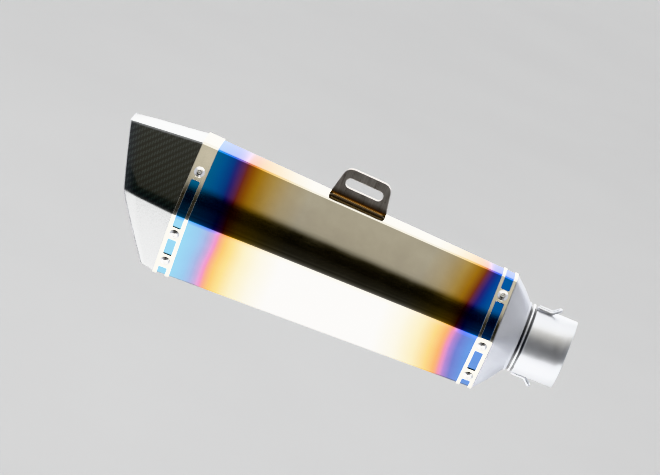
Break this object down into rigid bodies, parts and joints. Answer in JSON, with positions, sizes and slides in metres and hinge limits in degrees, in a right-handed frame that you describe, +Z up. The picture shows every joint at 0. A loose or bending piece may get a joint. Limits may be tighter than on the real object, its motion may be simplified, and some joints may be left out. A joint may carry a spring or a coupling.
{
  "type": "exhaust muffler",
  "caption": "Slip-on motorcycle muffler: tapered six-sided heat-tinted sleeve, slash-cut carbon end cap, riveted bands, front cone, inlet pipe, hanger bracket and perforated core.",
  "frame": {"origin": "centre of the inlet pipe's open end, on the pipe's axis", "axes": "+X along the muffler towards the inlet, +Z up towards the hanger bracket, Y across the narrow way"},
  "size_m": [0.4377, 0.103, 0.1551],
  "materials": {
    "tinted_titanium": "polished, heat tinted blue, purple and gold at both ends",
    "polished_band": "polished",
    "carbon_twill": "gloss lacquer over 2x2 twill carbon weave",
    "blasted_steel": "bead blasted, matte",
    "satin_steel": "satin",
    "dark_bracket_steel": "brushed, darkened by heat",
    "rivet_steel": "bright",
    "core_steel": "plain, heat stained",
    "glass_wool": "fibrous",
    "steel_wool": "fibrous metal wool"
  },
  "bodies": {
    "root": {"sleeve": "tinted_titanium", "front_band": "polished_band", "rear_band": "polished_band", "end_cap": "carbon_twill", "front_cone": "blasted_steel", "neck_ridge": "satin_steel", "inlet_pipe": "satin_steel", "upper_spring_hook": "satin_steel", "lower_spring_hook": "satin_steel", "perforated_core": "core_steel", "steel_wool_wrap": "steel_wool", "glass_wool_packing": "glass_wool", "front_core_plate": "core_steel", "rear_core_plate": "core_steel", "outlet_tube": "core_steel", "hanger_bracket": "dark_bracket_steel", "bracket_weld_left": "dark_bracket_steel", "bracket_weld_right": "dark_bracket_steel", "front_rivet_1": "rivet_steel", "front_rivet_2": "rivet_steel", "front_rivet_3": "rivet_steel", "front_rivet_4": "rivet_steel", "front_rivet_5": "rivet_steel", "front_rivet_6": "rivet_steel", "rear_rivet_1": "rivet_steel", "rear_rivet_2": "rivet_steel", "rear_rivet_3": "rivet_steel", "rear_rivet_4": "rivet_steel", "rear_rivet_5": "rivet_steel", "rear_rivet_6": "rivet_steel"}
  },
  "joints": []
}
